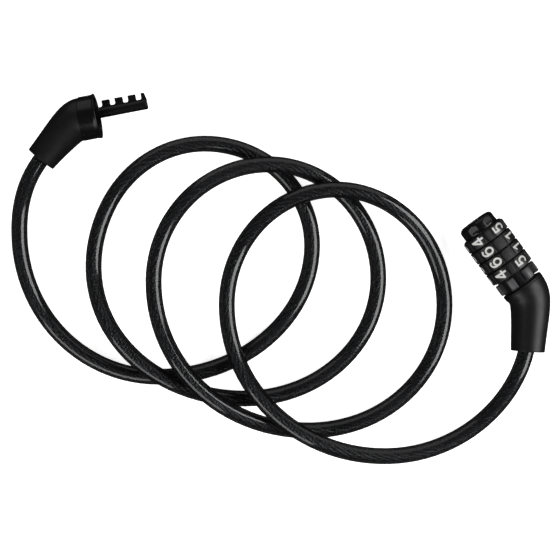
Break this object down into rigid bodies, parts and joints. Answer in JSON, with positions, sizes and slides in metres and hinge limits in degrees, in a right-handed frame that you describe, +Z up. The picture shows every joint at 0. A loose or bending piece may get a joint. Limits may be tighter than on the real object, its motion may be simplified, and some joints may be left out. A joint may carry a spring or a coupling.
{
  "type": "cable lock",
  "caption": "Self-coiling combination cable lock for bicycles: toothed key head and number-dial lock head on a sheathed steel cable lying in spread loops.",
  "frame": {"origin": "on the floor, midway under the two heads", "axes": "+Z up off the floor, +X from the key head towards the lock head, +Y to the far side as it lies"},
  "size_m": [0.2867, 0.1969, 0.0248],
  "materials": {
    "satin_elastomer": "satin",
    "gloss_black_plastic": "gloss",
    "dial_plastic": "satin gloss",
    "black_coated_metal": "satin",
    "smoke_sheath": "gloss",
    "steel_strand": "satin",
    "die_cast_zinc": "satin",
    "steel": "satin",
    "ferrule_metal": "satin",
    "grey_plastic": "satin",
    "brass": "satin"
  },
  "bodies": {
    "lock_and_cable": {"key_boot": "satin_elastomer", "key_collar": "gloss_black_plastic", "key_blade": "black_coated_metal", "key_elbow": "die_cast_zinc", "key_pin": "steel", "key_ferrule": "ferrule_metal", "cable_sheath": "smoke_sheath", "cable_core": "steel_strand", "lock_boot": "satin_elastomer", "lock_elbow": "die_cast_zinc", "lock_pin": "steel", "lock_ferrule": "ferrule_metal", "lock_barrel": "die_cast_zinc", "index_ring": "grey_plastic", "detent_spring": "steel", "retaining_clip": "steel", "end_cap": "gloss_black_plastic"},
    "dial_1_set": {"dial_1": "dial_plastic", "code_wheel_1": "brass"},
    "dial_2_set": {"dial_2": "dial_plastic", "code_wheel_2": "brass"},
    "dial_3_set": {"dial_3": "dial_plastic", "code_wheel_3": "brass"},
    "dial_4_set": {"dial_4": "dial_plastic", "code_wheel_4": "brass"}
  },
  "joints": [
    {"name": "dial_1_turn", "type": "hinge", "parent": "lock_and_cable", "child": "dial_1_set", "pos_m": [0.0978, 0.0013, 0.0124], "axis": [0.5948, -0.8039, 0], "continuous": true},
    {"name": "dial_2_turn", "type": "hinge", "parent": "lock_and_cable", "child": "dial_2_set", "pos_m": [0.0978, 0.0013, 0.0124], "axis": [0.5948, -0.8039, 0], "continuous": true},
    {"name": "dial_3_turn", "type": "hinge", "parent": "lock_and_cable", "child": "dial_3_set", "pos_m": [0.0978, 0.0013, 0.0124], "axis": [0.5948, -0.8039, 0], "continuous": true},
    {"name": "dial_4_turn", "type": "hinge", "parent": "lock_and_cable", "child": "dial_4_set", "pos_m": [0.0978, 0.0013, 0.0124], "axis": [0.5948, -0.8039, 0], "continuous": true}
  ]
}
